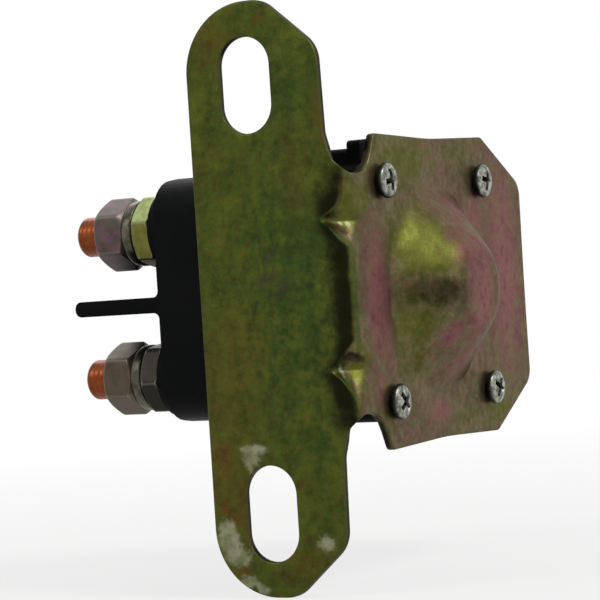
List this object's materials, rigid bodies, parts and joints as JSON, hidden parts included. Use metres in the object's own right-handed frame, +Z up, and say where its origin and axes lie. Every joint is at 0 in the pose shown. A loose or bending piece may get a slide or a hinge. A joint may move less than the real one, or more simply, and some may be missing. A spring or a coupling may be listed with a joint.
{
  "type": "starter solenoid relay",
  "caption": "Intermittent-duty solenoid relay in a black moulded housing on an L-shaped slotted bracket, closing a heavy contact between threaded copper studs.",
  "frame": {"origin": "middle between the two mounting slots, on the flange face that meets the panel", "axes": "+X along the plunger axis towards the outer face of the base plate, +Y away from the panel, +Z up along the flange from one slot to the other"},
  "size_m": [0.0874, 0.0743, 0.106],
  "materials": {
    "bracket_chromate": "yellow chromated zinc, satin",
    "screw_zinc": "bright zinc plated",
    "black_plastic": "moulded, half matt",
    "black_rubber": "matt",
    "stud_copper": "plain rolled thread",
    "jam_nut_zinc": "yellow chromated zinc",
    "outer_nut_zinc": "yellow chromated zinc with a pink cast",
    "spring_steel": "bright zinc plated",
    "tinned_brass": "tinned",
    "enamelled_copper": "enamelled wire",
    "mild_steel": "plain",
    "nylon": "moulded",
    "sleeve_brass": "drawn",
    "fibre_board": "pressed fibre",
    "contact_copper": "plain"
  },
  "bodies": {
    "relay": {"mounting_bracket": "bracket_chromate", "base_screws": "screw_zinc", "housing": "black_plastic", "base_gasket": "black_rubber", "stud_seals": "black_rubber", "rest_bumper": "black_rubber", "terminal_studs": "stud_copper", "jam_nuts": "jam_nut_zinc", "terminal_nuts": "outer_nut_zinc", "lock_washers": "spring_steel", "return_spring": "spring_steel", "coil_terminals": "tinned_brass", "coil_winding": "enamelled_copper", "coil_leads": "enamelled_copper", "yoke_can": "mild_steel", "pole_plate": "mild_steel", "fixed_core": "mild_steel", "bobbin": "nylon", "guide_sleeve": "sleeve_brass", "divider_disc": "fibre_board"},
    "plunger_set": {"plunger": "mild_steel", "push_rod": "mild_steel", "retaining_clips": "spring_steel", "spring_seat": "mild_steel", "contact_spring": "spring_steel"},
    "contact_set": {"contact_bush": "nylon", "contact_bridge": "contact_copper"}
  },
  "joints": [
    {"name": "plunger_slide", "type": "slide", "parent": "relay", "child": "plunger_set", "axis": [-1, 0, 0], "range_m": [0, 0.005], "stiffness_N_per_m": 400, "springref_m": -0.005, "deforming": ["return_spring"]},
    {"name": "contact_slide", "type": "slide", "parent": "plunger_set", "child": "contact_set", "axis": [-1, 0, 0], "range_m": [-0.00105, 0], "stiffness_N_per_m": 800, "springref_m": 0.0015, "deforming": ["contact_spring"]}
  ],
  "couplings": [
    {"joint": "contact_slide", "follows": "plunger_slide", "ratio": -0.21}
  ]
}
